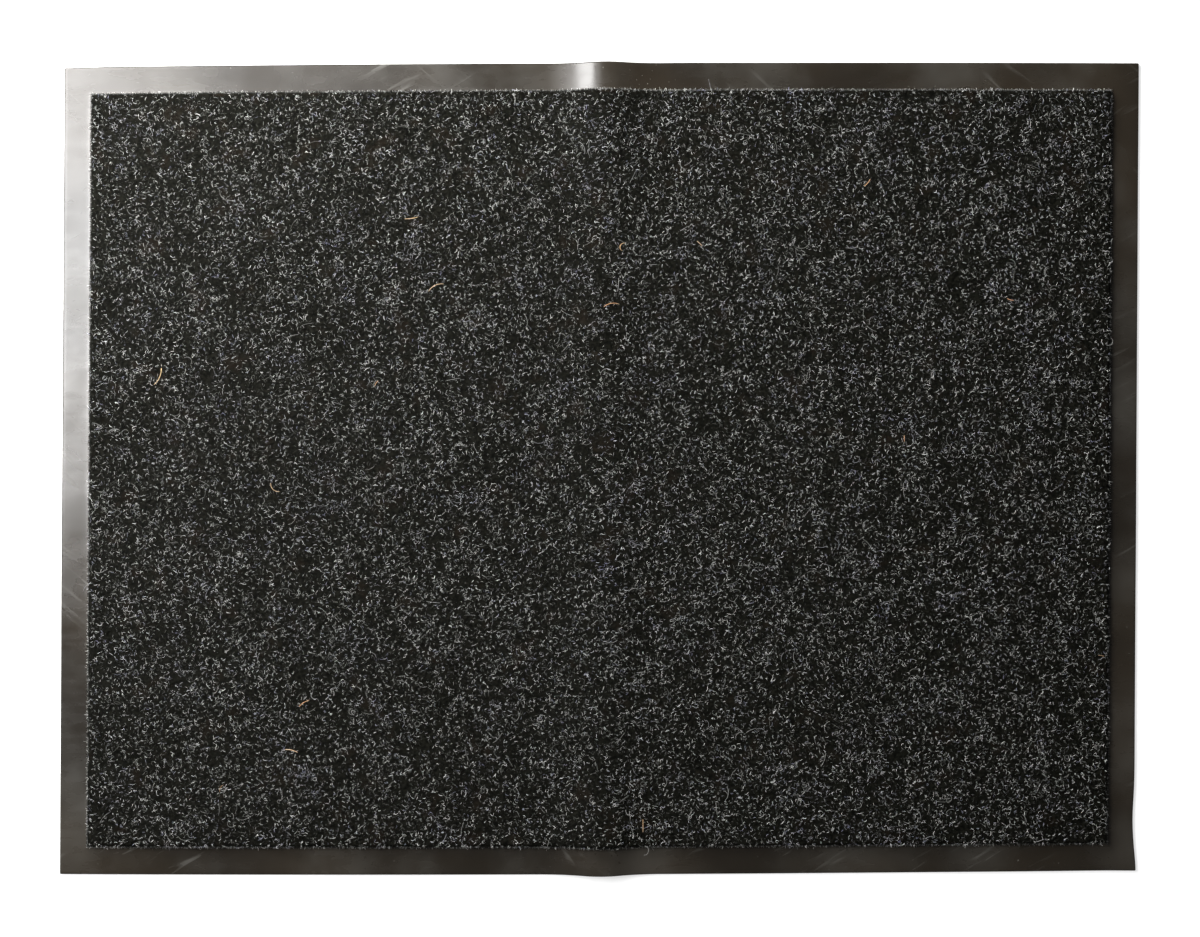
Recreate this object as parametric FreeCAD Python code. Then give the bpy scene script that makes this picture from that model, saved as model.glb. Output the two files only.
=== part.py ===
import FreeCAD, Part
import math
import os

# Door mat: a tufted carpet bonded into a vinyl sheet whose rim is the border.
# Millimetres, +Z up, +X along the long side, the floor at Z = 0 and the origin
# under the middle of the mat. Every layer is made in two halves that meet at a
# packing crease, which runs along Y as a low rounded crest.

# Outline
mat_length = 800.0
mat_width = 600.0
corner_radius = 3.0
border_width = 20.0
edge_bevel = 0.8

# Layers, from the floor up
seat_thickness = 1.5      # vinyl under the carpet
border_rise = 0.5         # how far the border stands above the carpet's seat
precoat_thickness = 0.3
cloth_thickness = 0.5
pile_height = 4.5

# Fits of the carpet in its seat
seat_clearance = 0.2      # between the cut cloth and the wall of the seat
tuft_margin = 0.8         # bare cloth outside the last row of tufts

# Crease
crease_x = 3.0            # the crease lies a little to the right of the middle
crest_height = 6.0        # how far the crease lifts the mat off the floor
crest_reach = 45.0        # from the crease to where the mat lies flat again
crest_round = 12.0        # the rounded part of that reach, next to the crease
crease_gap = 0.4          # clearance between the two halves of each layer

# Heights of the faces between the layers, where the mat lies flat
border_top = seat_thickness + border_rise
precoat_top = seat_thickness + precoat_thickness
cloth_top = precoat_top + cloth_thickness
pile_top = cloth_top + pile_height

# How far each layer's edge lies inside the mat's outline
carpet_inset = border_width + seat_clearance
pile_inset = carpet_inset + tuft_margin

# The crest's side is two arcs with a shared tangent: a convex one next to the
# crease, then a concave one that runs out flat. Height and reach set its
# steepest slope. Layers follow each other at a constant square distance.
crest_slope = 2.0 * math.atan2(crest_height, crest_reach)
convex_radius = crest_round / math.sin(crest_slope)
concave_radius = (crest_reach - crest_round) / math.sin(crest_slope)

LEFT = -1
RIGHT = 1
half_names = {LEFT: "left", RIGHT: "right"}
tolerance = 0.001


def convex_point(side, slope, lift):
    """The point of the convex arc at a slope, lifted square to the underside."""
    radius = convex_radius + lift
    run = radius * math.sin(slope)
    height = crest_height - convex_radius + radius * math.cos(slope)
    return FreeCAD.Vector(crease_x + side * run, 0.0, height)


def concave_point(side, slope, lift):
    """The point of the concave arc at a slope, lifted square to the underside."""
    radius = concave_radius - lift
    run = crest_reach - radius * math.sin(slope)
    height = concave_radius - radius * math.cos(slope)
    return FreeCAD.Vector(crease_x + side * run, 0.0, height)


def crest_line(side, lift):
    """One face of the crest seen from its end: the ridge, the foot and the arcs between."""
    ridge = convex_point(side, 0.0, lift)
    join = convex_point(side, crest_slope, lift)
    foot = concave_point(side, 0.0, lift)
    convex = Part.Arc(ridge, convex_point(side, crest_slope / 2.0, lift), join)
    concave = Part.Arc(join, concave_point(side, crest_slope / 2.0, lift), foot)
    return ridge, foot, [convex.toShape(), concave.toShape()]


def crest_strip(side, bottom, top, y_start, y_end):
    """The crest's side of a layer from one lift to another, over a stretch of its width."""
    ridge_low, foot_low, under = crest_line(side, bottom)
    ridge_high, foot_high, over = crest_line(side, top)
    ends = [Part.makeLine(ridge_low, ridge_high), Part.makeLine(foot_low, foot_high)]
    outline = Part.Wire(Part.__sortEdges__(under + over + ends))
    outline.translate(FreeCAD.Vector(0.0, y_start, 0.0))
    strip = Part.Face(outline).extrude(FreeCAD.Vector(0.0, y_end - y_start, 0.0))
    return strip.cut(crease_slot())


def crease_slot():
    """The space that parts the two halves at the crease."""
    corner = FreeCAD.Vector(crease_x - crease_gap / 2.0, -mat_width, 0.0)
    return Part.makeBox(crease_gap, 2.0 * mat_width, crest_height + 2.0 * pile_top, corner)


def crest_slab(side, bottom, top, inset):
    """The crest's side of a layer, over the layer's whole width."""
    edge_y = mat_width / 2.0 - inset
    return crest_strip(side, bottom, top, -edge_y, edge_y)


def flat_slab(side, bottom, top, inset):
    """The flat part of a layer, from the crest's foot to the layer's far edge."""
    foot_x = crease_x + side * crest_reach
    far_x = side * (mat_length / 2.0 - inset)
    corner = FreeCAD.Vector(min(foot_x, far_x), inset - mat_width / 2.0, bottom)
    return Part.makeBox(abs(far_x - foot_x), mat_width - 2.0 * inset, top - bottom, corner)


def bevelled(solid, rim):
    """A solid with a bevel along those of its edges that lie on the rim line."""
    edges = []
    for edge in solid.Edges:
        middle = edge.valueAt((edge.FirstParameter + edge.LastParameter) / 2.0)
        if Part.Vertex(middle).distToShape(rim)[0] < tolerance:
            edges.append(edge)
    return solid.makeChamfer(edge_bevel, edges)


def rounded_flat_vinyl(side):
    """The flat part of the vinyl before its bevel and seat: a slab with two rounded corners."""
    slab = flat_slab(side, 0.0, border_top, 0.0)
    far_x = side * mat_length / 2.0
    corners = []
    for edge in slab.Edges:
        box = edge.BoundBox
        if box.ZLength > border_top / 2.0 and abs(box.Center.x - far_x) < tolerance:
            corners.append(edge)
    return slab.makeFillet(corner_radius, corners)


def flat_vinyl(side):
    """The flat part of the vinyl sheet, with its rim and the carpet's seat."""
    slab = rounded_flat_vinyl(side)
    foot_x = crease_x + side * crest_reach
    rim = []
    for edge in slab.Edges:
        box = edge.BoundBox
        on_top = box.ZMin > border_top - tolerance
        on_foot = abs(box.XMin - foot_x) < tolerance and box.XLength < tolerance
        if on_top and not on_foot:
            rim.append(edge)
    slab = bevelled(slab, Part.Compound(rim))
    seat = flat_slab(side, seat_thickness, border_top + border_rise, border_width)
    return slab.cut(seat)


def crest_vinyl(side):
    """The crest's side of the vinyl sheet, with a strip of rim at each end of the crease."""
    outer_y = mat_width / 2.0
    seat_y = outer_y - border_width
    slab = crest_slab(side, 0.0, border_top, 0.0)
    rim = []
    for end_y in (-outer_y, outer_y):
        line = Part.Wire(crest_line(side, border_top)[2])
        line.translate(FreeCAD.Vector(0.0, end_y, 0.0))
        rim.append(line)
    slab = bevelled(slab, Part.Compound(rim))
    seat = crest_strip(side, seat_thickness, border_top + border_rise, -seat_y, seat_y)
    return slab.cut(seat)


def vinyl_backing(side):
    """The vinyl sheet under the carpet, whose rim is the mat's border."""
    return [flat_vinyl(side), crest_vinyl(side)]


def carpet_layer(side, bottom, top, inset):
    """A layer of the carpet that lies in the seat of the vinyl."""
    return [flat_slab(side, bottom, top, inset), crest_slab(side, bottom, top, inset)]


def latex_precoat(side):
    """The coat on the back of the cloth that locks the tufts and bonds to the vinyl."""
    return carpet_layer(side, seat_thickness, precoat_top, carpet_inset)


def primary_cloth(side):
    """The woven cloth that the yarn is tufted through."""
    return carpet_layer(side, precoat_top, cloth_top, carpet_inset)


def cut_pile(side):
    """The space that the cut yarn fills."""
    return carpet_layer(side, cloth_top, pile_top, pile_inset)


def export(name, solids):
    """Write one sub-part as the solids that it is made of."""
    Part.Compound(solids).exportStep("parts/" + name + ".step")


def main():
    """Build and write every layer of both halves."""
    os.makedirs("parts", exist_ok=True)
    layers = {
        "vinyl_backing": vinyl_backing,
        "latex_precoat": latex_precoat,
        "primary_cloth": primary_cloth,
        "cut_pile": cut_pile,
    }
    for layer_name, build_layer in layers.items():
        for side, half in half_names.items():
            export(layer_name + "_" + half, build_layer(side))


main()
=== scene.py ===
"""The looks of a tufted door mat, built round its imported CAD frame.

The mat is a short cut pile of near-black and grey yarn, tufted through a woven cloth that is
bonded into a vinyl sheet. The sheet's rim is the mat's smooth border. A packing crease runs
across the middle as a low rounded crest, and the mat folds in half there.

Everything is in metres, in the CAD frame: +X along the long side, +Z up, the floor at Z = 0.
Places on the mat are given flat, as if it were unrolled: u along X, v along Y, and lift square
to the underside. MatForm.place turns them into the laid shape.
"""

import logging
import math
from dataclasses import dataclass, replace
from enum import Enum

import bpy
import numpy as np
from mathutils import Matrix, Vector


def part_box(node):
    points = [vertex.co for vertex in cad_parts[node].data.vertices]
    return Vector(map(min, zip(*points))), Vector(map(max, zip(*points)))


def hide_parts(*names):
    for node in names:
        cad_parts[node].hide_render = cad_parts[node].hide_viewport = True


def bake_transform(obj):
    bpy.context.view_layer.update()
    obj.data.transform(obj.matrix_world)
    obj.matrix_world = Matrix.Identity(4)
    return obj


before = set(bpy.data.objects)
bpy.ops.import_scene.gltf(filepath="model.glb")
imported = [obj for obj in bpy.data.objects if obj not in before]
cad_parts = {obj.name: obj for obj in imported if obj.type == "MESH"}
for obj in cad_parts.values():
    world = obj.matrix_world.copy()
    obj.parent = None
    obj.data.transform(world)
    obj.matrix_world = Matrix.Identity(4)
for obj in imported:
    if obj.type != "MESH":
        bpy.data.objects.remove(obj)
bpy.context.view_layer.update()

log = logging.getLogger("door_mat")
MM = 0.001
Array = np.ndarray
Piece = bpy.types.Object
Material = bpy.types.Material
Socket = bpy.types.NodeSocket
Colour = tuple[float, float, float]
Span = tuple[float, float]
Row = tuple[float, ...]
Shells = tuple[Array, list[Array]]


def mm(*lengths: float) -> Row:
    """Lengths given in millimetres, as a row in metres."""
    return tuple(length * MM for length in lengths)


# ---------------------------------------------------------------- shape of the laid mat


class WaveField:
    """A smooth random field over the mat: many plane waves of similar length, summed."""

    def __init__(self, seed: int, shortest: float, longest: float, waves: int = 14) -> None:
        """Draw the waves.

        Args:
            seed: fixes the random draw.
            shortest: shortest wavelength.
            longest: longest wavelength.
            waves: how many are summed.
        """
        rng = np.random.default_rng(seed)
        heading = rng.uniform(0.0, 2.0 * math.pi, waves)
        number = 2.0 * math.pi / rng.uniform(shortest, longest, waves)
        self.step_u = number * np.cos(heading)
        self.step_v = number * np.sin(heading)
        self.phase = rng.uniform(0.0, 2.0 * math.pi, waves)
        self.scale = 1.0 / math.sqrt(waves)

    def at(self, u: Array, v: Array) -> Array:
        """The field's value, mostly between -1.5 and 1.5.

        Args:
            u: places along the length.
            v: places along the width.

        Returns:
            One value for each place.
        """
        total = np.zeros(np.broadcast(u, v).shape)
        for step_u, step_v, phase in zip(self.step_u, self.step_v, self.phase):
            total += np.cos(step_u * u + step_v * v + phase)
        return total * self.scale


@dataclass(frozen=True)
class Nudge:
    """A small sideways push of the mat's edge near one point."""

    u: float
    v: float
    reach: float
    push_u: float
    push_v: float

    def weight(self, u: Array, v: Array) -> Array:
        """How strongly the push acts at each place."""
        return np.exp(-((u - self.u) ** 2 + (v - self.v) ** 2) / self.reach**2)


@dataclass(frozen=True)
class MatForm:
    """Sizes of the mat's layers and the shape in which it lies on the floor."""

    half_length: float
    half_width: float
    carpet_inset: float
    tuft_inset: float
    crease_u: float
    crest_height: float
    seat: float
    border_top: float
    precoat_top: float
    cloth_top: float
    pile_top: float
    crest_reach: float = 45.0 * MM
    crest_round: float = 12.0 * MM
    crest_middle: float = 0.5
    crest_rim: float = 1.3
    crest_fade: Span = mm(190.0, 285.0)
    lean_u: float = 0.0060
    lean_v: float = 0.0037
    widened_ends: float = 0.0015
    widened_middle: float = 0.0070
    swell_height: float = 0.22 * MM
    swell_touch: float = 0.6
    nudges: tuple[Nudge, ...] = (
        Nudge(0.400, -0.262, 20 * MM, -1.3 * MM, 0.0),
        Nudge(0.400, -0.300, 14 * MM, 1.2 * MM, -0.4 * MM),
        Nudge(-0.400, 0.300, 25 * MM, 0.0, -0.6 * MM),
        Nudge(0.003, 0.300, 35 * MM, 0.0, -0.6 * MM),
    )

    @classmethod
    def from_frame(cls) -> "MatForm":
        """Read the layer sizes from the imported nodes' boxes."""
        vinyl_low, vinyl_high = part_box("vinyl_backing_left")
        right_low, right_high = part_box("vinyl_backing_right")
        precoat_low, precoat_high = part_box("latex_precoat_left")
        cloth_low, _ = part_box("primary_cloth_left")
        pile_low, pile_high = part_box("cut_pile_left")
        crest_height = precoat_high[2] - cloth_low[2]
        return cls(
            half_length=right_high[0],
            half_width=vinyl_high[1],
            carpet_inset=precoat_low[0] - vinyl_low[0],
            tuft_inset=pile_low[0] - vinyl_low[0],
            crease_u=(vinyl_high[0] + right_low[0]) / 2.0,
            crest_height=crest_height,
            seat=precoat_low[2],
            border_top=vinyl_high[2] - crest_height,
            precoat_top=cloth_low[2],
            cloth_top=pile_low[2],
            pile_top=pile_high[2] - crest_height,
        )

    def halves(self, inset: float) -> Span:
        """Half the length and half the width of the outline, less an inset on each side."""
        return self.half_length - inset, self.half_width - inset

    @property
    def crest_slope(self) -> float:
        """The crest's steepest slope, where its two arcs meet."""
        return 2.0 * math.atan2(self.crest_height, self.crest_reach)

    def crest_share(self, v: Array) -> Array:
        """The crest's share of its mean height: more at the rims, less between them."""
        start, end = self.crest_fade
        run = np.clip((np.abs(v) - start) / (end - start), 0.0, 1.0)
        return self.crest_middle + (self.crest_rim - self.crest_middle) * run**2 * (3.0 - 2.0 * run)

    def place(self, u: Array, v: Array, lift: Array) -> Array:
        """Carry flat places onto the laid mat.

        Args:
            u: places along the length, measured on the underside.
            v: places along the width.
            lift: heights square to the underside.

        Returns:
            One row of x, y and z for each place.
        """
        u, v, lift = np.broadcast_arrays(u, v, lift)
        convex = self.crest_round / math.sin(self.crest_slope)
        concave = (self.crest_reach - self.crest_round) / math.sin(self.crest_slope)
        run = np.abs(u - self.crease_u)
        side = np.sign(u - self.crease_u)
        near = run < self.crest_round
        sine = np.where(near, run / convex, np.clip(self.crest_reach - run, 0.0, None) / concave)
        cosine = np.sqrt(1.0 - sine**2)
        crest = np.where(
            near, self.crest_height - convex * (1.0 - cosine), concave * (1.0 - cosine)
        )
        share = self.crest_share(v)
        slope = share * sine / cosine
        cosine = 1.0 / np.sqrt(1.0 + slope**2)
        x = u + side * slope * cosine * lift + self.lean_u * v
        middle = 1.0 - (u / self.half_length) ** 2
        widened = self.widened_ends + (self.widened_middle - self.widened_ends) * middle
        y = v * (1.0 + widened) + self.lean_v * u
        for nudge in self.nudges:
            weight = nudge.weight(u, v)
            x = x + weight * nudge.push_u
            y = y + weight * nudge.push_v
        z = share * crest + cosine * lift + self.swell(u, v)
        return np.stack([x, y, z], axis=-1)

    def swell(self, u: Array, v: Array) -> Array:
        """How far the limp mat stands off the floor between the places where it touches."""
        return self.swell_height * np.clip(SWELL.at(u, v) + self.swell_touch, 0.0, None)


SWELL = WaveField(seed=11, shortest=0.09, longest=0.30)


# ---------------------------------------------------------------- meshes


def stations(low: float, high: float, pitch: float) -> Array:
    """Evenly spaced places from low to high, no further apart than pitch."""
    count = max(2, math.ceil((high - low) / pitch) + 1)
    return np.linspace(low, high, count)


def across(half: float, insets: Array, pitch: float, fine: Row | None = None) -> Array:
    """Grid lines from one edge to the other: set insets at both edges, a pitch between.

    Args:
        half: half the width that the lines cross.
        insets: distances from the edge of the lines next to it, rising.
        pitch: greatest distance between the other lines.
        fine: middle, half width and pitch of a band with closer lines.

    Returns:
        The places of the lines, rising.
    """
    inner = half - insets[-1]
    if fine is None:
        middle = stations(-inner, inner, pitch)
    else:
        centre, reach, fine_pitch = fine
        parts = (
            stations(-inner, centre - reach, pitch)[:-1],
            stations(centre - reach, centre + reach, fine_pitch)[:-1],
            stations(centre + reach, inner, pitch),
        )
        middle = np.concatenate(parts)
    return np.concatenate([-half + insets[:-1], middle, (half - insets[:-1])[::-1]])


def numbered(shape: tuple[int, int]) -> Array:
    """A grid of point numbers, counted row by row."""
    return np.arange(shape[0] * shape[1]).reshape(shape)


def quads(index: Array) -> Array:
    """The upward quads between a grid's points, as one row of four point numbers each."""
    corners = [index[:-1, :-1], index[1:, :-1], index[1:, 1:], index[:-1, 1:]]
    return np.stack(corners, axis=-1).reshape(-1, 4)


def link(thing: Piece) -> Piece:
    """Put an object into the scene."""
    bpy.context.scene.collection.objects.link(thing)
    return thing


def make_object(name: str, points: Array, faces: list[Array], uv: Array | None = None) -> Piece:
    """Make a smooth object from arrays of points and faces.

    Args:
        name: the piece's name.
        points: one row for each point.
        faces: arrays of point numbers, each with one row for each face.
        uv: a place in the unit square for each face corner, in the order of faces.

    Returns:
        The new object, linked into the scene.
    """
    mesh = bpy.data.meshes.new(name)
    mesh.vertices.add(len(points))
    mesh.vertices.foreach_set("co", points.astype(np.float32).ravel())
    corners = np.concatenate([block.ravel() for block in faces])
    sizes = np.concatenate([np.full(len(block), block.shape[1]) for block in faces])
    starts = np.concatenate([[0], np.cumsum(sizes)[:-1]])
    mesh.loops.add(len(corners))
    mesh.loops.foreach_set("vertex_index", corners.astype(np.int32))
    mesh.polygons.add(len(sizes))
    mesh.polygons.foreach_set("loop_start", starts.astype(np.int32))
    mesh.polygons.foreach_set("use_smooth", np.full(len(sizes), True))
    mesh.update(calc_edges=True)
    if uv is not None:
        layer = mesh.uv_layers.new(name="OFBake")
        layer.data.foreach_set("uv", uv.astype(np.float32).ravel())
    mesh.validate()
    return link(bpy.data.objects.new(name, mesh))


def edge_distance(u: Array, v: Array, half_u: float, half_v: float) -> Array:
    """How far each place lies inside a rectangle's nearest edge."""
    return np.minimum(half_u - np.abs(u), half_v - np.abs(v))


def round_corners(u: Array, v: Array, half: Span, radius: float) -> tuple[Array, Array]:
    """Bend the grid lines near the corners of a rectangle so that its outline is rounded.

    Args:
        u: places along the length.
        v: places along the width.
        half: half the rectangle's length and half its width.
        radius: the corner radius.

    Returns:
        The moved places.
    """
    a = np.clip((np.abs(u) - (half[0] - radius)) / radius, 0.0, 1.0)
    b = np.clip((np.abs(v) - (half[1] - radius)) / radius, 0.0, 1.0)
    shift_u = a * (1.0 - np.sqrt(1.0 - b**2 / 2.0)) * radius
    shift_v = b * (1.0 - np.sqrt(1.0 - a**2 / 2.0)) * radius
    return u - np.sign(u) * shift_u, v - np.sign(v) * shift_v


@dataclass(frozen=True)
class SheetGrid:
    """The grid of a thin closed sheet that follows the laid mat."""

    form: MatForm
    inset: float
    edge_insets: Row
    pitch: float
    corner: float
    crease_pitch: float | None = 2.2 * MM

    def plan(self) -> tuple[Array, Array, Array]:
        """The grid's places, with closer lines over the crest where there is a crease pitch.

        Returns:
            u and v of each grid point, and its distance inside the sheet's edge.
        """
        half_u, half_v = self.form.halves(self.inset)
        insets, fine = np.array(self.edge_insets), self.crease_pitch
        band = (self.form.crease_u, self.form.crest_reach + fine, fine) if fine else None
        lines_u, lines_v = across(half_u, insets, self.pitch, band), across(half_v, insets, self.pitch)
        u, v = np.meshgrid(lines_u, lines_v, indexing="ij")
        inside = edge_distance(u, v, half_u, half_v)
        u, v = round_corners(u, v, (half_u, half_v), self.corner)
        return u, v, inside

    def closed(self, name: str, top: Array, bottom: Array, extra: Shells | None = None) -> Piece:
        """Build the sheet as a closed mesh.

        Args:
            name: the piece's name.
            top: lift of the upper face at each grid point.
            bottom: lift of the lower face at each grid point.
            extra: points and faces of small shells to add to the same mesh.

        Returns:
            The new object.
        """
        u, v, _ = self.plan()
        upper = self.form.place(u, v, top).reshape(-1, 3)
        lower = self.form.place(u, v, bottom).reshape(-1, 3)
        index = numbered(u.shape)
        rim = np.concatenate([index[:, 0], index[-1, 1:], index[-2::-1, -1], index[0, -2:0:-1]])
        following = np.roll(rim, -1)
        wall = np.stack([rim, rim + u.size, following + u.size, following], axis=-1)
        faces = [quads(index), quads(index + u.size)[:, ::-1], wall]
        points = np.concatenate([upper, lower])
        if extra is not None:
            faces += [block + len(points) for block in extra[1]]
            points = np.concatenate([points, extra[0]])
        return make_object(name, points, faces)


TUBE_SIDES = 3
TUBE_FIRST_TURN = 0.25
NEARLY_UP = (0.05, 0.03, 1.0)


def make_tubes(name: str, paths: Array, radii: Array) -> Piece:
    """Closed three-sided tubes along many short paths, none of which runs along NEARLY_UP.

    Args:
        name: the piece's name.
        paths: for each fibre, its row of points.
        radii: for each fibre, the radius at each of its points.

    Returns:
        The new object, with a cell of its own in the unit square for each fibre.
    """
    count, length, _ = paths.shape
    along = np.gradient(paths, axis=1)
    along /= np.linalg.norm(along, axis=-1, keepdims=True)
    side = np.cross(along, np.array(NEARLY_UP))
    side /= np.linalg.norm(side, axis=-1, keepdims=True)
    over = np.cross(side, along)
    ring = []
    for number in range(TUBE_SIDES):
        angle = 2.0 * math.pi * (TUBE_FIRST_TURN + number / TUBE_SIDES)
        offset = math.cos(angle) * side + math.sin(angle) * over
        ring.append(paths + radii[..., None] * offset)
    points = np.stack(ring, axis=2).reshape(-1, 3)
    index = np.arange(count * length * TUBE_SIDES).reshape(count, length, TUBE_SIDES)
    following = np.roll(index, -1, axis=2)
    walls = np.stack([index[:, :-1], following[:, :-1], following[:, 1:], index[:, 1:]], axis=-1)
    caps = np.stack([index[:, 0, ::-1], index[:, -1]], axis=1)
    faces = [walls.reshape(-1, 4), caps.reshape(-1, 3)]
    return make_object(name, points, faces, tube_cells(count, length))


def tube_cells(count: int, length: int) -> Array:
    """Where each tube's face corners lie in the unit square: one small cell for each tube.

    Args:
        count: how many tubes there are.
        length: how many points each tube's path has.

    Returns:
        One place for each face corner, the walls' first and then the caps'.
    """
    side, step = np.meshgrid(np.arange(TUBE_SIDES), np.arange(length - 1), indexing="xy")
    corners_x = np.stack([side, side + 1, side + 1, side], axis=-1) / TUBE_SIDES
    corners_y = np.stack([step, step, step + 1, step + 1], axis=-1) / (length - 1)
    walls = np.stack([corners_x, corners_y], axis=-1).reshape(-1, 2)
    caps = np.array([[0.1, 0.0], [0.9, 0.0], [0.5, 0.3], [0.1, 0.7], [0.9, 0.7], [0.5, 1.0]])
    columns = math.ceil(math.sqrt(count))
    fibre = np.arange(count)
    cell = np.stack([fibre % columns, fibre // columns], axis=-1)[:, None, :]
    margin = 0.1
    blocks = [(cell + margin + (1.0 - 2.0 * margin) * part[None]) / columns for part in (walls, caps)]
    return np.concatenate([block.reshape(-1, 2) for block in blocks])


# ---------------------------------------------------------------- finishes


@dataclass(frozen=True)
class Mottle:
    """A noise pattern, whose values are carried from the source range to the target range.

    The raw noise lies mostly between 0.3 and 0.7. stretch squeezes the pattern along each axis,
    turn turns those axes about Z by an angle in radians, and warp bends it.
    """

    size: float
    detail: float
    source: Span = (0.3, 0.7)
    target: Span = (0.0, 1.0)
    stretch: Row = (1.0, 1.0, 1.0)
    turn: float = 0.0
    warp: float = 0.0


@dataclass(frozen=True)
class Relief:
    """Fine unevenness of a surface: a noise pattern, how high it stands and how strongly."""

    size: float
    detail: float
    height: float
    strength: float = 1.0


class Graph:
    """A material's node tree, with short calls to add and join nodes."""

    def __init__(self, name: str) -> None:
        """Start a material that holds one Principled shader."""
        self.material = bpy.data.materials.new(name)
        self.material.use_nodes = True
        self.tree = self.material.node_tree
        self.shader = self.tree.nodes["Principled BSDF"]
        self.place = self.add("ShaderNodeTexCoord").outputs["Object"]

    def add(self, kind: str, **settings: object) -> bpy.types.Node:
        """Add a node and set its properties."""
        node = self.tree.nodes.new(kind)
        for key, value in settings.items():
            setattr(node, key, value)
        return node

    def put(self, socket: Socket, value: object) -> None:
        """Link an input to another socket, or set it to a number or a vector."""
        if isinstance(value, Socket):
            self.tree.links.new(value, socket)
        else:
            socket.default_value = value

    def feed(self, node: bpy.types.Node, **values: object) -> None:
        """Put a value into each named input of a node, with underscores for spaces."""
        for key, value in values.items():
            self.put(node.inputs[key.replace("_", " ")], value)

    def paint(self, **values: object) -> Material:
        """Feed the shader, and hand over the material."""
        self.feed(self.shader, **values)
        return self.material

    def noise(self, pattern: Mottle) -> Socket:
        """Add a pattern's raw noise.

        Args:
            pattern: the pattern.

        Returns:
            The socket of its value.
        """
        turned = self.add("ShaderNodeVectorRotate", rotation_type="Z_AXIS")
        self.feed(turned, Vector=self.place, Angle=pattern.turn)
        scaled = self.add("ShaderNodeVectorMath", operation="MULTIPLY")
        self.put(scaled.inputs[0], turned.outputs[0])
        self.put(scaled.inputs[1], pattern.stretch)
        node = self.add("ShaderNodeTexNoise")
        self.feed(node, Vector=scaled.outputs[0], Scale=1.0 / pattern.size)
        self.feed(node, Detail=pattern.detail, Distortion=pattern.warp)
        return node.outputs["Fac"]

    def mottle(self, *patterns: Mottle) -> Socket:
        """The product of patterns, each carried to its range."""
        values = [self.spread(self.noise(each), each.source, each.target) for each in patterns]
        return self.maths("MULTIPLY", *values)

    def spread(self, value: Socket, source: Span, target: Span) -> Socket:
        """Carry a value smoothly from one range to another, clamped."""
        node = self.add("ShaderNodeMapRange", interpolation_type="SMOOTHSTEP")
        self.feed(node, Value=value, From_Min=source[0], From_Max=source[1])
        self.feed(node, To_Min=target[0], To_Max=target[1])
        return node.outputs["Result"]

    def maths(self, operation: str, result: Socket, *others: object) -> Socket:
        """A running sum or product.

        Args:
            operation: ADD or MULTIPLY.
            result: the first value.
            others: the values that follow.

        Returns:
            The socket of the outcome.
        """
        for value in others:
            node = self.add("ShaderNodeMath", operation=operation)
            self.put(node.inputs[0], result)
            self.put(node.inputs[1], value)
            result = node.outputs[0]
        return result

    def blend(self, share: Socket, first: object, second: object) -> Socket:
        """Mix two colours.

        Args:
            share: how much of the second colour shows.
            first: a colour, or a socket.
            second: a colour, or a socket.

        Returns:
            The mixed colour's socket.
        """
        node = self.add("ShaderNodeMix", data_type="RGBA")
        self.put(node.inputs[0], share)
        for socket, value in ((node.inputs[6], first), (node.inputs[7], second)):
            self.put(socket, value if isinstance(value, Socket) else (*value, 1.0))
        return node.outputs[2]

    def bump(self, height: Socket, distance: float, strength: float = 1.0) -> bpy.types.Node:
        """A bump whose relief is the height socket times a distance."""
        node = self.add("ShaderNodeBump")
        self.feed(node, Height=height, Distance=distance, Strength=strength)
        return node

    def relief(self, *layers: Relief) -> Socket:
        """The normal of one relief on top of another.

        Args:
            layers: the reliefs, coarsest first.

        Returns:
            The socket of the bumped normal.
        """
        under = None
        for layer in layers:
            pattern = Mottle(layer.size, layer.detail)
            node = self.bump(self.noise(pattern), layer.height, layer.strength)
            if under is not None:
                self.put(node.inputs["Normal"], under)
            under = node.outputs["Normal"]
        return under


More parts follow.
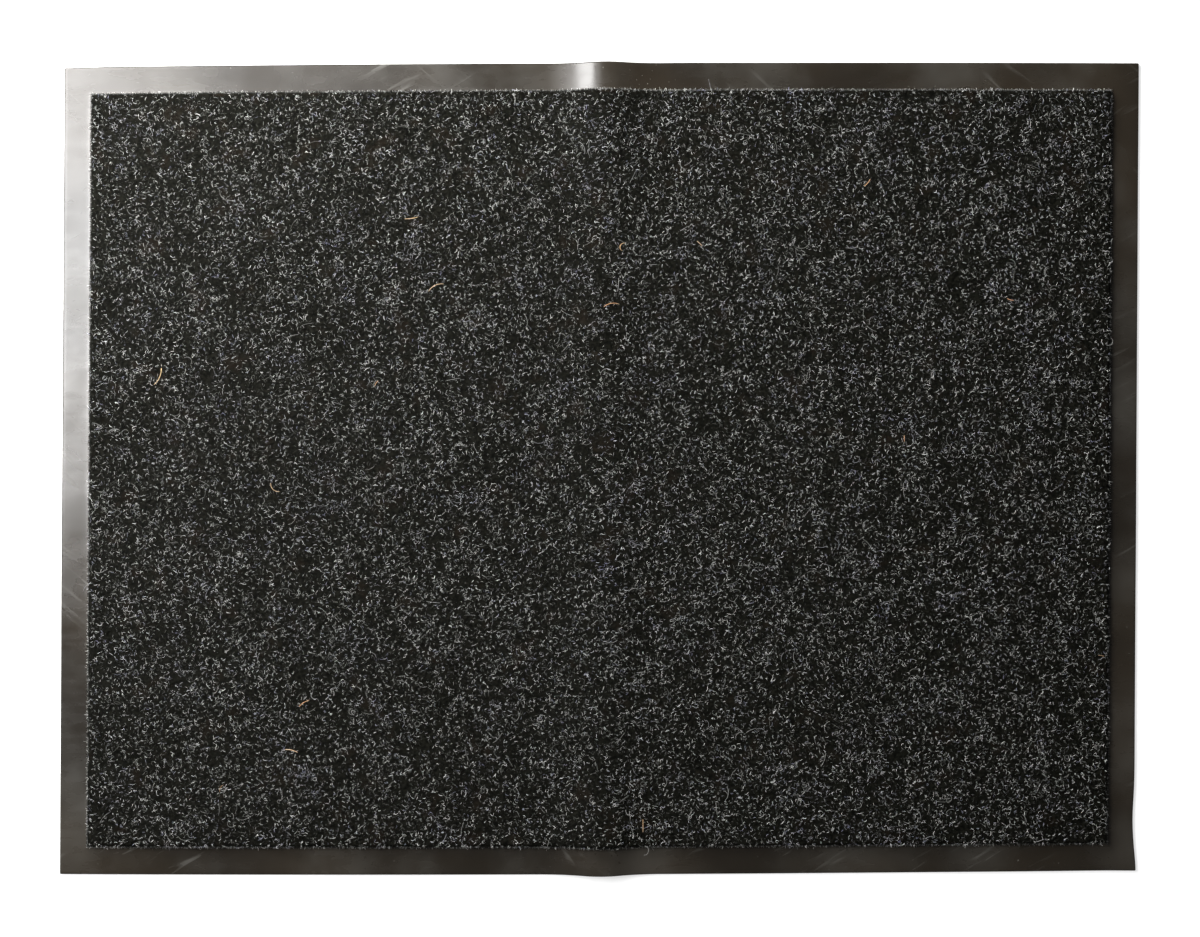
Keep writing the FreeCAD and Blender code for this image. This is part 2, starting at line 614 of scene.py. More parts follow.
@dataclass(frozen=True)
class VinylFinish:
    """Soft moulded vinyl: brown-black, softly shiny, with a little dust and scuffing.

    The dusting is a thin film, specks here and there, and two slants of rub marks in a few places.
    """

    dark: Colour = (0.0080, 0.0060, 0.0038)
    light: Colour = (0.0150, 0.0110, 0.0068)
    dust: Colour = (0.16, 0.157, 0.142)
    cloud: Mottle = Mottle(0.16, 3.0, (0.35, 0.65))
    dusting: tuple[tuple[Mottle, ...], ...] = (
        (Mottle(0.075, 5.0, (0.4, 0.74), (0.015, 0.13)),),
        (Mottle(0.0022, 1.0, (0.735, 0.8), (0.0, 0.55)), Mottle(0.05, 2.0, (0.5, 0.66))),
        (
            Mottle(0.0070, 2.5, (0.58, 0.8), (0.0, 0.22), stretch=(0.12, 1.0, 1.0), turn=0.7, warp=0.5),
            Mottle(0.085, 1.0, (0.5, 0.64)),
        ),
        (
            Mottle(0.0045, 2.5, (0.58, 0.8), (0.0, 0.22), stretch=(0.12, 1.0, 1.0), turn=-0.5, warp=0.5),
            Mottle(0.120, 1.0, (0.5, 0.64)),
        ),
    )
    roughness: float = 0.23
    dust_roughness: float = 0.35
    streaks: Mottle = Mottle(0.006, 3.0, target=(-0.025, 0.035), stretch=(0.35, 1.0, 1.0))
    patches: Mottle = Mottle(0.07, 2.0, target=(-0.03, 0.05))
    wave: Relief = Relief(0.030, 1.0, 0.25 * MM, 0.6)
    grain: Relief = Relief(0.0011, 2.0, 0.03 * MM, 0.3)
    ior: float = 1.5

    def make(self, name: str) -> Material:
        """Build the material.

        Args:
            name: the material's name.

        Returns:
            The material.
        """
        graph = Graph(name)
        dusty = graph.maths("ADD", *[graph.mottle(*layer) for layer in self.dusting])
        colour = graph.blend(graph.mottle(self.cloud), self.dark, self.light)
        colour = graph.blend(dusty, colour, self.dust)
        dusted = graph.maths("MULTIPLY", dusty, self.dust_roughness)
        streaks, patches = graph.mottle(self.streaks), graph.mottle(self.patches)
        rough = graph.maths("ADD", streaks, patches, self.roughness, dusted)
        normal = graph.relief(self.wave, self.grain)
        return graph.paint(Base_Color=colour, Roughness=rough, Normal=normal, IOR=self.ior)


@dataclass(frozen=True)
class YarnFinish:
    """Cut polypropylene yarn of one shade, with each fibre a little lighter or darker."""

    dark: Colour
    light: Colour
    tint: Colour
    roughness: float = 0.5
    shine: float = 0.5
    tinted: Mottle = Mottle(0.022, 2.0, (0.54, 0.66), (0.0, 0.8))
    worn: Mottle = Mottle(0.0015, 1.0, target=(-0.1, 0.1))
    ridges: Relief = Relief(0.0004, 1.0, 0.04 * MM, 0.6)

    def make(self, name: str) -> Material:
        """Build the material.

        Args:
            name: the material's name.

        Returns:
            The material.
        """
        graph = Graph(name)
        fibre = graph.add("ShaderNodeNewGeometry").outputs["Random Per Island"]
        colour = graph.blend(fibre, self.dark, self.light)
        colour = graph.blend(graph.mottle(self.tinted), colour, self.tint)
        rough = graph.maths("ADD", graph.mottle(self.worn), self.roughness)
        normal, shine = graph.relief(self.ridges), self.shine
        return graph.paint(Base_Color=colour, Roughness=rough, Normal=normal, Specular_IOR_Level=shine)


@dataclass(frozen=True)
class DullFinish:
    """A rough, uneven surface mottled between two tones, with a third tone in places."""

    dark: Colour
    light: Colour
    cloud: Mottle
    rough: Mottle
    reliefs: tuple[Relief, ...]
    tint: Colour = (0.0, 0.0, 0.0)
    tinted: Mottle | None = None
    shine: float = 0.5

    def make(self, name: str) -> Material:
        """Build the material.

        Args:
            name: the material's name.

        Returns:
            The material.
        """
        graph = Graph(name)
        colour = graph.blend(graph.mottle(self.cloud), self.dark, self.light)
        if self.tinted:
            colour = graph.blend(graph.mottle(self.tinted), colour, self.tint)
        rough, normal, shine = graph.mottle(self.rough), graph.relief(*self.reliefs), self.shine
        return graph.paint(Base_Color=colour, Roughness=rough, Normal=normal, Specular_IOR_Level=shine)


# Near-black: the pile yarn's own colour, darkened further to paint the shade that lies deep among the
# fibres.
PILE_DEPTH_AND_SHADE = DullFinish(
    dark=(0.0008, 0.0008, 0.0004),
    light=(0.0050, 0.0049, 0.0034),
    cloud=Mottle(0.0021, 3.0, (0.36, 0.66)),
    rough=Mottle(0.002, 1.0, target=(0.65, 0.85)),
    reliefs=(Relief(0.0032, 2.0, 1.2 * MM, 0.9), Relief(0.0011, 2.0, 0.6 * MM, 0.9)),
    tint=(0.0085, 0.0056, 0.0034),
    tinted=Mottle(0.017, 2.0, (0.58, 0.72), (0.0, 0.4)),
    shine=0.055,
)
DRIED_LATEX = DullFinish(
    dark=(0.40, 0.36, 0.28),
    light=(0.62, 0.58, 0.48),
    cloud=Mottle(0.01, 4.0),
    rough=Mottle(0.004, 2.0, target=(0.6, 0.85)),
    reliefs=(Relief(0.003, 3.0, 0.2 * MM),),
)


@dataclass(frozen=True)
class ClothFinish:
    """Woven flat tape yarn, charcoal, seen only at its cut edge."""

    dark: Colour = (0.010, 0.010, 0.0085)
    light: Colour = (0.055, 0.055, 0.050)
    tape: float = 1.3 * MM
    period: float = 0.314
    warp: float = 0.8
    wear: Mottle = Mottle(0.012, 3.0, target=(0.5, 1.0))
    roughness: Span = (0.75, 0.5)
    thickness: float = 0.15 * MM

    def make(self, name: str) -> Material:
        """Build the material. A band texture with a scale of one has one band in a period.

        Args:
            name: the material's name.

        Returns:
            The material.
        """
        graph = Graph(name)
        waves = []
        for direction in ("X", "Y"):
            wave = graph.add("ShaderNodeTexWave", bands_direction=direction)
            graph.feed(wave, Vector=graph.place, Scale=self.period / self.tape, Distortion=self.warp)
            waves.append(wave.outputs["Fac"])
        weave = graph.maths("MULTIPLY", *waves)
        worn = graph.maths("MULTIPLY", weave, graph.mottle(self.wear))
        colour = graph.blend(worn, self.dark, self.light)
        rough = graph.spread(weave, (0.0, 1.0), self.roughness)
        normal = graph.bump(weave, self.thickness).outputs["Normal"]
        return graph.paint(Base_Color=colour, Roughness=rough, Normal=normal)


@dataclass(frozen=True)
class FloorFinish:
    """A plain pale studio floor, lit faintly from below so that shadows on it stay light."""

    dark: Colour = (0.43, 0.43, 0.43)
    light: Colour = (0.46, 0.46, 0.46)
    cloud: Mottle = Mottle(0.8, 2.0)
    roughness: float = 0.9
    glow: float = 0.65

    def make(self, name: str) -> Material:
        """Build the material.

        Args:
            name: the material's name.

        Returns:
            The material.
        """
        graph = Graph(name)
        colour = graph.blend(graph.mottle(self.cloud), self.dark, self.light)
        graph.feed(graph.shader, Emission_Color=(1.0, 1.0, 1.0, 1.0), Emission_Strength=self.glow)
        return graph.paint(Base_Color=colour, Roughness=self.roughness)


# ---------------------------------------------------------------- the mat


class Body(Enum):
    """The two halves that fold on each other."""

    LEFT = "left_half"
    RIGHT = "right_half"


@dataclass(frozen=True)
class Fold:
    """Gives finished pieces their materials, and hides the CAD nodes that they stand for."""

    form: MatForm
    reach: float = 20.0 * MM

    def attach(self, piece: Piece, material: Material, slot: str, layer: str = "") -> None:
        """Give a finished piece its material, and hide the two nodes of the layer that it stands for.

        Args:
            piece: the piece.
            material: what it is made of.
            slot: the name of its slot; not used.
            layer: the layer whose two nodes it stands for, if any.
        """
        piece.data.materials.append(material)
        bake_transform(piece)
        if layer:
            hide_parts(f"{layer}_left", f"{layer}_right")


def carpet_grid(form: MatForm, edge_insets: Row) -> SheetGrid:
    """The grid of a layer that fills the carpet's seat."""
    return SheetGrid(form, form.carpet_inset, edge_insets, pitch=14.0 * MM, corner=0.5 * MM)


@dataclass(frozen=True)
class Studs:
    """The low round studs of the underside: six-sided, tapered, closed and sunk into the sheet."""

    pitch: float = 12.0 * MM
    radius: float = 1.8 * MM
    margin: float = 8.0 * MM
    sunk: float = 0.25 * MM
    taper: float = 0.72
    bevel: float = 0.07 * MM
    sides: int = 6

    def centres(self, half_u: float, half_v: float) -> Array:
        """Where the studs stand, in staggered rows.

        Args:
            half_u: half the length that they fill.
            half_v: half the width that they fill.

        Returns:
            One row of u and v for each stud.
        """
        row_pitch = self.pitch * math.sqrt(3.0) / 2.0
        places = []
        for row, v in enumerate(np.arange(-half_v, half_v, row_pitch)):
            line = np.arange(-half_u + self.pitch / 2.0 * (row % 2), half_u, self.pitch)
            places.append(np.stack([line, np.full(len(line), v)], axis=-1))
        return np.concatenate(places)

    def shells(self, form: MatForm, sheet_bottom: float) -> Shells:
        """All the studs' points and faces.

        Args:
            form: the shape that they follow.
            sheet_bottom: lift of the face that they stand out of.

        Returns:
            The points, and the arrays of faces.
        """
        centre = self.centres(*form.halves(self.margin))
        spoke = np.arange(self.sides)
        angle = spoke * 2.0 * math.pi / self.sides
        circle = np.stack([np.cos(angle), np.sin(angle)], axis=-1)
        middle, tip = np.zeros((1, 2)), 1 + 2 * self.sides
        outline = np.concatenate([middle, self.radius * circle, self.taper * self.radius * circle, middle])
        lift = np.repeat([sheet_bottom + self.sunk, self.bevel, 0.0], [1 + self.sides, self.sides, 1])
        spot = centre[:, None] + outline
        points = form.place(spot[..., 0], spot[..., 1], lift)
        inner, outer = 1 + spoke, 1 + self.sides + spoke
        next_inner, next_outer = np.roll(inner, -1), np.roll(outer, -1)
        cap_in = np.stack([np.zeros_like(spoke), inner, next_inner], axis=-1)
        cap_out = np.stack([np.full_like(spoke, tip), next_outer, outer], axis=-1)
        wall = np.stack([next_inner, inner, outer, next_outer], axis=-1)
        first = (np.arange(len(centre)) * len(outline))[:, None, None]
        fans = np.concatenate([cap_in, cap_out])
        return points.reshape(-1, 3), [(first + wall).reshape(-1, 4), (first + fans).reshape(-1, 3)]


@dataclass(frozen=True)
class VinylBacking:
    """The moulded vinyl sheet: border, carpet seat and studded underside."""

    form: MatForm
    fold: Fold
    finish: VinylFinish = VinylFinish()
    studs: Studs = Studs()
    corner: float = 1.0 * MM
    pitch: float = 6.5 * MM
    sheet_bottom: float = 0.4 * MM
    rim_steps: Row = mm(0.0, 0.15, 0.5, 1.2)
    upper_rounding: Row = mm(0.8, 0.35, 0.1, 0.0)
    lower_rounding: Row = mm(0.45, 0.2, 0.05, 0.0)
    border_lines: Row = mm(3.0, 7.0, 12.0, 16.0)
    lip_lines: Row = mm(-2.2, -1.5, -0.9, -0.3, -0.05, 0.0, 4.0)
    lip_rise: float = 0.30 * MM
    lip_width: float = 2.2 * MM
    lip_unevenness: float = 0.35
    ripple_height: float = 0.045 * MM
    ripple_start: float = 2.0 * MM
    seat_gap: float = 0.02 * MM

    def top_lift(self, u: Array, v: Array, inside: Array) -> Array:
        """Lift of the upper face: rounded rim, flat border, lip at the carpet, seat.

        Args:
            u: places along the length.
            v: places along the width.
            inside: distance inside the outer edge.

        Returns:
            The lift at each place.
        """
        seat_edge = self.form.carpet_inset
        border = self.form.border_top - np.array(self.upper_rounding)
        profile = np.interp(inside, self.rim_steps, border)
        lip = self.lip_rise * (1.0 + self.lip_unevenness * LIP.at(u, v))
        rise = np.clip(1.0 - (seat_edge - inside) / self.lip_width, 0.0, 1.0)
        profile = profile + lip * rise**2 * (inside < seat_edge)
        ripple = self.ripple_height * RIPPLE.at(u, v) * np.clip(inside / self.ripple_start, 0.0, 1.0)
        on_border = inside < seat_edge - 0.5 * self.seat_gap
        return np.where(on_border, profile + ripple, self.form.seat - self.seat_gap)

    def bottom_lift(self, inside: Array) -> Array:
        """Lift of the lower face: rounded at the outer edge, flat inside it."""
        return self.sheet_bottom + np.interp(inside, self.rim_steps, self.lower_rounding)

    def build(self) -> Piece:
        """Build, dress and attach the sheet.

        Returns:
            The finished piece.
        """
        lip = tuple(self.form.carpet_inset + step for step in self.lip_lines)
        grid = SheetGrid(self.form, 0.0, self.rim_steps + self.border_lines + lip, self.pitch, self.corner)
        u, v, inside = grid.plan()
        top, bottom = self.top_lift(u, v, inside), self.bottom_lift(inside)
        studs = self.studs.shells(self.form, self.sheet_bottom)
        piece = grid.closed("vinyl_backing", top, bottom, studs)
        self.fold.attach(piece, self.finish.make("moulded_vinyl"), "vinyl", "vinyl_backing")
        half_u, half_v = self.form.halves(0.0)
        return piece


LIP = WaveField(seed=5, shortest=3.0 * MM, longest=9.0 * MM)
RIPPLE = WaveField(seed=7, shortest=18.0 * MM, longest=60.0 * MM)


@dataclass(frozen=True)
class LatexPrecoat:
    """The latex coat under the cloth, out of sight between cloth and vinyl."""

    form: MatForm
    fold: Fold
    finish: DullFinish = DRIED_LATEX
    unevenness: float = 0.05 * MM
    cloth_gap: float = 0.06 * MM

    def build(self) -> Piece:
        """Build, dress and attach the coat."""
        grid = carpet_grid(self.form, mm(0.0, 0.6, 4.0))
        u, v, _ = grid.plan()
        uneven = np.clip(self.unevenness * LIP.at(u, v), -self.unevenness, self.unevenness)
        top = self.form.precoat_top - self.cloth_gap + uneven
        bottom = np.full(u.shape, self.form.seat)
        piece = grid.closed("latex_precoat", top, bottom)
        self.fold.attach(piece, self.finish.make("dried_latex"), "latex", "latex_precoat")
        return piece


@dataclass(frozen=True)
class PrimaryCloth:
    """The woven cloth and the ends of its yarns along the cut edge."""

    form: MatForm
    fold: Fold
    finish: ClothFinish = ClothFinish()
    end_finish: YarnFinish = YarnFinish((0.12, 0.12, 0.11), (0.55, 0.55, 0.52), (0.34, 0.33, 0.31), 0.5)
    end_pitch: float = 1.1 * MM
    end_wander: float = 0.25 * MM
    end_radius: float = 0.15 * MM
    end_reach: Span = mm(0.15, 0.45)
    end_sway: float = 0.25
    end_path: Row = (-1.2, 0.1, 1.0)
    end_drop: Row = mm(0.0, 0.05, 0.12)
    tooth_pitch: float = 3.8 * MM
    tooth_reach: Span = mm(0.1, 1.0)

    def sheet(self) -> Piece:
        """The cloth itself, as a thin closed sheet."""
        grid = carpet_grid(self.form, mm(0.0, 0.5, 2.0))
        u, _, _ = grid.plan()
        top, bottom = self.form.cloth_top, self.form.precoat_top
        return grid.closed("primary_cloth", np.full(u.shape, top), np.full(u.shape, bottom))

    def yarn_ends(self) -> Piece:
        """Short cut yarn ends that stand out of the cloth's edge over the vinyl's lip."""
        rng = np.random.default_rng(23)
        u, v, out_u, out_v = self.edge_walk(rng)
        count = len(u)
        tooth = 0.5 + 0.5 * np.cos(2.0 * math.pi * (u + v) / self.tooth_pitch)
        reach = rng.uniform(*self.end_reach, count) + tooth**2 * rng.uniform(*self.tooth_reach, count)
        sway = rng.normal(0.0, self.end_sway, count)
        share = np.array(self.end_path)
        run_u = out_u[:, None] * share - out_v[:, None] * share * sway[:, None]
        run_v = out_v[:, None] * share + out_u[:, None] * share * sway[:, None]
        low, high = self.form.precoat_top + 0.2 * MM, self.form.cloth_top + 0.12 * MM
        lift = rng.uniform(low, high, count)[:, None] + np.array(self.end_drop)
        path = self.form.place(
            u[:, None] + run_u * reach[:, None], v[:, None] + run_v * reach[:, None], lift
        )
        radii = np.full(path.shape[:2], self.end_radius) * rng.uniform(0.7, 1.3, (count, 1))
        return make_tubes("cloth_yarn_ends", path, radii)

    def edge_walk(self, rng: np.random.Generator) -> tuple[Array, Array, Array, Array]:
        """Places along the cloth's edge and the direction out of it.

        Args:
            rng: where the small irregularities come from.

        Returns:
            u and v of each place, and the outward direction's two parts.
        """
        half_u, half_v = self.form.halves(self.form.carpet_inset)
        parts = []
        for sign in (-1.0, 1.0):
            for along, other, turned in ((half_u, half_v, False), (half_v, half_u, True)):
                line = stations(-along, along, self.end_pitch)
                line = line + rng.normal(0.0, self.end_wander, len(line))
                rim, flat = np.full(len(line), sign * other), np.zeros(len(line))
                parts.append((rim, line, flat + sign, flat) if turned else (line, rim, flat, flat + sign))
        u, v, out_u, out_v = (np.concatenate(column) for column in zip(*parts))
        return np.clip(u, -half_u, half_u), np.clip(v, -half_v, half_v), out_u, out_v

    def build(self) -> tuple[Piece, Piece]:
        """Build, dress and attach the cloth.

        Returns:
            The cloth and its yarn ends.
        """
        cloth, ends = self.sheet(), self.yarn_ends()
        self.fold.attach(cloth, self.finish.make("woven_tape_cloth"), "cloth", "primary_cloth")
        self.fold.attach(ends, self.end_finish.make("frayed_cloth_yarn"), "cloth")
        return cloth, ends


@dataclass(frozen=True)
class FibreStyle:
    """How the fibres of one batch are cut, set and curled, between limits for each fibre.

    rise and fall are the slopes in degrees at a fibre's root and tip, curl is how far it turns
    aside in radians, and depth is how far its root is sunk.
    """

    length: Span
    radius: Span
    rise: Span
    fall: Span
    curl: float
    depth: Span
    segments: int = 2
    taper: float = 0.75


@dataclass(frozen=True)
class Batch:
    """One piece made of many fibres."""

    name: str
    count: int
    style: FibreStyle
    finish: YarnFinish
    slot: str
    seed: int
    patchy: float = 0.5


@dataclass(frozen=True)
class CutPile:
    """The cut pile: its near-black depth, whose colour is the yarn's own with painted shade from deep among
    the fibres, and the fibres that show on it.
    """

    form: MatForm
    fold: Fold
    ground_finish: DullFinish = PILE_DEPTH_AND_SHADE
    pitch: float = 2.35 * MM
    corner: float = 2.0 * MM
    jitter: float = 0.45 * MM
    sunk: float = 1.1 * MM
    tuft_height: float = 0.28 * MM
    cloud_height: float = 0.18 * MM
    edge_steps: Row = mm(0.0, 0.25, 0.7, 1.5, 3.0)
    edge_heights: Row = (0.0, 0.52, 0.80, 0.95, 1.0)
    under_columns: int = 26
    fringe_width: float = 0.9 * MM

    def surface(self, u: Array, v: Array, inside: Array) -> Array:
        """Lift of the top of the pile's depth, at places and their distances inside its edge."""
        uneven = self.tuft_height * TUFTS.at(u, v) + self.cloud_height * CLOUDS.at(u, v)
        share = np.interp(inside, self.edge_steps, self.edge_heights)
        base = self.form.cloth_top
        return base + share * (self.form.pile_top - self.sunk + uneven - base)

    def ground(self) -> Piece:
        """The pile's depth as one closed mesh.

        Returns:
            The new object.
        """
        inset = self.form.tuft_inset
        grid = SheetGrid(self.form, inset, self.edge_steps, self.pitch, self.corner, crease_pitch=None)
        u, v, inside = grid.plan()
        wander = np.clip(inside / self.edge_steps[-1], 0.0, 1.0)
        jitter = np.random.default_rng(3).normal(0.0, self.jitter, (2, *u.shape)) * wander
        upper = self.form.place(u + jitter[0], v + jitter[1], self.surface(u, v, inside)).reshape(-1, 3)
        index = numbered(u.shape)
        sparse = np.linspace(0, index.shape[1] - 1, self.under_columns).astype(int)[1:-1]
        lower = self.form.place(u[1:-1, sparse], v[1:-1, sparse], self.form.cloth_top)
        inner = index.size + numbered(lower.shape[:2])
        floor = np.concatenate([index[1:-1, :1], inner, index[1:-1, -1:]], axis=1)
        under = np.stack([floor[:-1, :-1], floor[:-1, 1:], floor[1:, 1:], floor[1:, :-1]], axis=-1)
        first = np.concatenate([index[0, ::-1], floor[0]])[None]
        last = np.concatenate([index[-1], floor[-1, ::-1]])[None]
        faces = [quads(index), under.reshape(-1, 4), first, last]
        return make_object("cut_pile", np.concatenate([upper, lower.reshape(-1, 3)]), faces)

    def sow(self, batch: Batch) -> Piece:
        """Grow one batch of fibres over the whole pile.

        Args:
            batch: what to grow.

        Returns:
            The new object.
        """
        rng = np.random.default_rng(batch.seed)
        half_u, half_v = self.form.halves(self.form.tuft_inset)
        tries = batch.count * 4
        u, v = rng.uniform(-half_u, half_u, tries), rng.uniform(-half_v, half_v, tries)
        thick = 0.5 * PATCHES.at(u, v) + 0.25 * CLOUDS.at(u, v)
        keep = np.flatnonzero(rng.uniform(0.0, 1.0, tries) < 0.5 + batch.patchy * thick)[: batch.count]
        return self.grow(batch, rng, u[keep], v[keep])

    def grow(self, batch: Batch, rng: np.random.Generator, u: Array, v: Array) -> Piece:
        """Grow a fibre at each given place.

        Args:
            batch: how the fibres look.
            rng: where their differences come from.
            u: places along the length.
            v: places along the width.

        Returns:
            The new object.
        """
        style, count = batch.style, len(u)
        share = (np.arange(style.segments) + 0.5) / style.segments
        heading = rng.uniform(0.0, 2.0 * math.pi, count)[:, None]
        heading = heading + rng.normal(0.0, style.curl, count)[:, None] * share
        rise = np.radians(rng.uniform(*style.rise, count))[:, None]
        fall = np.radians(rng.uniform(*style.fall, count))[:, None]
        pitch = rise * (1.0 - share) + fall * share
        step = (rng.uniform(*style.length, count) / style.segments)[:, None]
        level = step * np.cos(pitch)
        moves = [level * np.cos(heading), level * np.sin(heading), step * np.sin(pitch)]
        path = np.cumsum(np.stack(moves, axis=-1), axis=1)
        path = np.concatenate([np.zeros((count, 1, 3)), path], axis=1)
        top = self.surface(u, v, edge_distance(u, v, *self.form.halves(self.form.tuft_inset)))
        root = top - rng.uniform(*style.depth, count)
        points = self.form.place(
            u[:, None] + path[..., 0], v[:, None] + path[..., 1], root[:, None] + path[..., 2]
        )
        taper = np.linspace(1.0, style.taper, style.segments + 1)
        return make_tubes(batch.name, points, rng.uniform(*style.radius, count)[:, None] * taper)

    def fringe(self, batch: Batch) -> Piece:
        """Grow fibres along the pile's four sides.

        Args:
            batch: what to grow.

        Returns:
            The new object.
        """
        rng = np.random.default_rng(batch.seed)
        half_u, half_v = self.form.halves(self.form.tuft_inset)
        around = rng.uniform(0.0, 4.0 * (half_u + half_v), batch.count)
        along_u = around < 4.0 * half_u
        sign = np.where(rng.uniform(size=batch.count) < 0.5, -1.0, 1.0)
        inset = rng.uniform(0.0, self.fringe_width, batch.count)
        slide = rng.uniform(-1.0, 1.0, batch.count)
        u = np.where(along_u, slide * half_u, sign * (half_u - inset))
        v = np.where(along_u, sign * (half_v - inset), slide * half_v)
        return self.grow(batch, rng, u, v)

    def build(self, batches: tuple[Batch, ...], fringes: tuple[Batch, ...]) -> list[Piece]:
        """Build, dress and attach the pile.

        Args:
            batches: fibres spread over the whole pile.
            fringes: fibres along its sides.

        Returns:
            The pile's depth and its fibre pieces.
        """
        ground = self.ground()
        self.fold.attach(ground, self.ground_finish.make("pile_depth_and_painted_shade"), "pile", "cut_pile")
        fibres = [self.sow(batch) for batch in batches] + [self.fringe(batch) for batch in fringes]
        for piece, batch in zip(fibres, batches + fringes):
            self.fold.attach(piece, batch.finish.make(batch.name + "_yarn"), batch.slot)
        return [ground, *fibres]


TUFTS = WaveField(seed=31, shortest=4.5 * MM, longest=9.0 * MM, waves=20)
CLOUDS = WaveField(seed=32, shortest=30.0 * MM, longest=90.0 * MM)
PATCHES = WaveField(seed=33, shortest=7.0 * MM, longest=22.0 * MM, waves=24)

LIGHT_YARN = YarnFinish((0.40, 0.40, 0.385), (0.90, 0.90, 0.88), (0.62, 0.62, 0.64), 0.45)
MID_YARN = YarnFinish((0.085, 0.085, 0.077), (0.36, 0.36, 0.35), (0.20, 0.20, 0.23), 0.5, 0.35)
DIM_YARN = YarnFinish((0.016, 0.016, 0.013), (0.079, 0.079, 0.073), (0.052, 0.050, 0.056), 0.6, 0.2)
BLUE_YARN = YarnFinish((0.11, 0.115, 0.16), (0.42, 0.43, 0.54), (0.22, 0.22, 0.36), 0.45)
BLACK_YARN = YarnFinish(
    (0.0012, 0.0012, 0.0007), (0.0080, 0.0079, 0.0060), (0.010, 0.0070, 0.0045), 0.65, 0.06
)
STRAW_YARN = YarnFinish((0.50, 0.22, 0.09), (0.66, 0.46, 0.24), (0.55, 0.40, 0.27), 0.5)

FLECK = FibreStyle(mm(1.6, 3.5), mm(0.10, 0.16), (15.0, 55.0), (-35.0, 15.0), 2.5, mm(0.1, 0.6), 3)
STUB = FibreStyle(mm(1.5, 3.2), mm(0.22, 0.34), (35.0, 80.0), (0.0, 50.0), 1.0, mm(0.5, 1.0))
SOFT_STUB = FibreStyle(mm(1.7, 3.4), mm(0.15, 0.25), (20.0, 65.0), (-15.0, 35.0), 1.6, mm(0.3, 0.8))
CURL = FibreStyle(mm(5.0, 12.0), mm(0.11, 0.17), (10.0, 40.0), (-18.0, 5.0), 3.2, mm(0.1, 0.4), 8)
STRAY = FibreStyle(mm(5.0, 14.0), mm(0.22, 0.32), (10.0, 30.0), (-14.0, 4.0), 1.4, mm(0.0, 0.2), 8)
OVERHANG = FibreStyle(mm(0.8, 2.0), mm(0.16, 0.26), (10.0, 70.0), (-40.0, 20.0), 1.2, mm(0.0, 0.8))


def family(name: str, parts: int, whole: Batch) -> tuple[Batch, ...]:
    """A batch's fibres as several numbered pieces, each sown from a seed of its own."""
    return tuple(replace(whole, name=f"{name}_{part + 1}", seed=whole.seed + part) for part in range(parts))


BATCHES = (
    *family("light_grey_fibres", 4, Batch("", 9400, FLECK, LIGHT_YARN, "grey_yarn", 201, 0.35)),
    *family("mid_grey_fibres", 4, Batch("", 9100, FLECK, MID_YARN, "grey_yarn", 211, 0.35)),
    *family("dim_grey_fibres", 3, Batch("", 14000, SOFT_STUB, DIM_YARN, "grey_yarn", 221, 0.25)),
    Batch("blue_grey_fibres", 6500, FLECK, BLUE_YARN, "grey_yarn", 231, 0.8),
    *family("black_fibres", 2, Batch("", 14000, STUB, BLACK_YARN, "pile", 241, 0.2)),
    Batch("long_curled_fibres", 1000, CURL, MID_YARN, "grey_yarn", 251, 0.5),
    Batch("straw_strays", 16, STRAY, STRAW_YARN, "grey_yarn", 109, 0.3),
)
FRINGES = (
    Batch("side_fibres_black", 4200, OVERHANG, BLACK_YARN, "pile", 110),
    Batch("side_fibres_grey", 1500, OVERHANG, MID_YARN, "grey_yarn", 111),
)


# ---------------------------------------------------------------- studio


@dataclass(frozen=True)
class Softbox:
    """A rectangular area light that faces the mat: tilted up from straight down, then turned."""

    name: str
    at: Row
    size: Span
    tilt: float
    turn: float
    radiance: float
    mirrored: bool = True

    def build(self) -> None:
        """Add the light to the scene."""
        data = bpy.data.lights.new(self.name, "AREA")
        data.shape = "RECTANGLE"
        data.size, data.size_y = self.size
        data.energy = self.radiance * math.pi * self.size[0] * self.size[1]
        box = link(bpy.data.objects.new(self.name, data))
        box.location = self.at
        box.rotation_euler = (0.0, -math.radians(self.tilt), math.radians(self.turn))
        box.visible_camera = False
        box.visible_glossy = self.mirrored


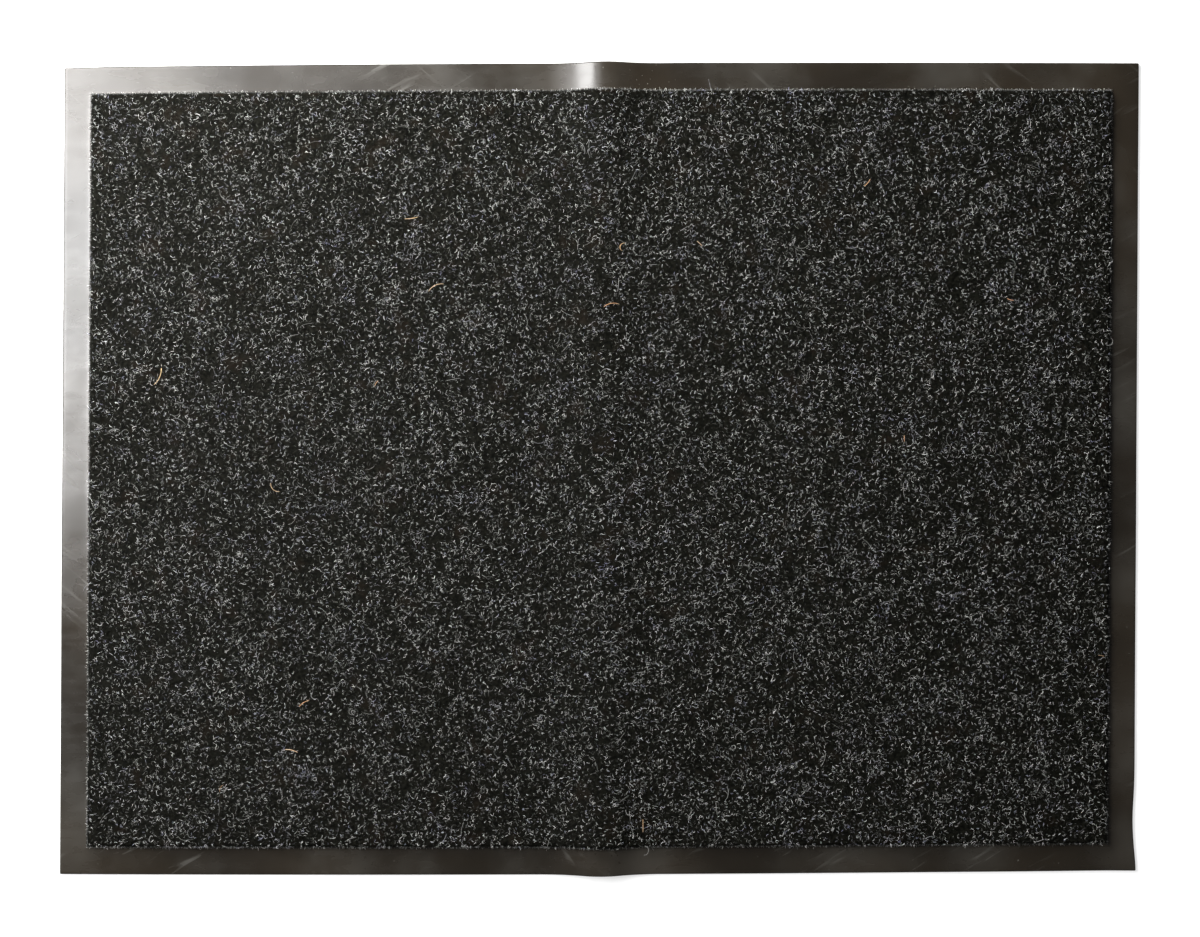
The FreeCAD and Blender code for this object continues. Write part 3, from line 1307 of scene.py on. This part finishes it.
@dataclass(frozen=True)
class Studio:
    """A pale floor and backdrop, softboxes beyond the mat's far left corner, an overhead camera.

    The low side softbox lights the pile from the side, and is kept out of the vinyl's shine.
    """

    camera_at: Row = (0.0005, 0.0001, 1.2500)
    lens: float = 50.3
    softboxes: tuple[Softbox, ...] = (
        Softbox("main_softbox", (-1.045, 0.67, 1.15), (0.7, 1.4), 20.0, 0.0, 21.5),
        Softbox("edge_softbox", (-0.55, 0.80, 1.50), (0.40, 1.2), 20.0, 0.0, 3.2),
        Softbox("side_softbox", (-0.42, 0.72, 0.36), (0.35, 0.6), 67.0, -59.0, 32.0, mirrored=False),
    )
    sky: float = 0.09
    floor_half: float = 4.0
    floor_drop: float = 0.15 * MM
    floor_lines: int = 9
    backdrop_radius: float = 3.9
    backdrop_height: float = 5.0
    backdrop_sides: int = 64
    backdrop_rows: int = 4

    def floor(self) -> Piece:
        """The floor, a hair below the mat so that the two never share a surface."""
        lines = np.linspace(-self.floor_half, self.floor_half, self.floor_lines)
        x, y = np.meshgrid(lines, lines, indexing="ij")
        return self.surface("studio_floor", x, y, np.full(x.shape, -self.floor_drop))

    def backdrop(self) -> Piece:
        """A pale round wall behind everything, which only the camera sees."""
        turns = np.linspace(0.0, 2.0 * math.pi, self.backdrop_sides + 1)
        heights = np.linspace(0.0, self.backdrop_height, self.backdrop_rows + 1)
        turn, height = np.meshgrid(turns, heights, indexing="ij")
        x, y = self.backdrop_radius * np.cos(turn), self.backdrop_radius * np.sin(turn)
        wall = self.surface("studio_backdrop", x, y, height)
        wall.visible_diffuse = wall.visible_glossy = wall.visible_shadow = False
        return wall

    def surface(self, name: str, x: Array, y: Array, z: Array) -> Piece:
        """A pale surface through a grid of points, which isn't part of the mat."""
        points = np.stack([x, y, z], axis=-1).reshape(-1, 3)
        piece = make_object(name, points, [quads(numbered(x.shape))])
        piece.data.materials.append(FloorFinish().make(f"pale_{name}"))
        return piece

    def light(self) -> None:
        """The softboxes, and an even sky that fills the shadows."""
        for softbox in self.softboxes:
            softbox.build()
        world = bpy.data.worlds.new("studio_sky")
        world.use_nodes = True
        background = world.node_tree.nodes["Background"]
        background.inputs["Color"].default_value = (1.0, 1.0, 1.0, 1.0)
        background.inputs["Strength"].default_value = self.sky
        bpy.context.scene.world = world

    def camera(self) -> None:
        """The camera, straight above the mat."""
        data = bpy.data.cameras.new("overhead")
        data.lens = self.lens
        data.clip_start = 0.01
        camera = link(bpy.data.objects.new("overhead", data))
        camera.location = self.camera_at
        bpy.context.scene.camera = camera

    def build(self) -> None:
        """Set up floor, backdrop, light and camera."""
        self.floor()
        self.backdrop()
        self.light()
        self.camera()
        bpy.context.scene.view_settings.view_transform = "Standard"


def main() -> None:
    """Build the mat and its studio."""
    logging.basicConfig(level=logging.INFO, format="%(message)s")
    form = MatForm.from_frame()
    fold = Fold(form)
    vinyl = VinylBacking(form, fold).build()
    precoat = LatexPrecoat(form, fold).build()
    cloth, yarn_ends = PrimaryCloth(form, fold).build()
    pile = CutPile(form, fold).build(BATCHES, FRINGES)
    half_u, half_v = form.halves(form.carpet_inset)
    for piece in (vinyl, precoat, cloth, yarn_ends, *pile):
        log.info("%s: %d faces", piece.name, len(piece.data.polygons))
    Studio().build()


if __name__ == "__main__":
    main()
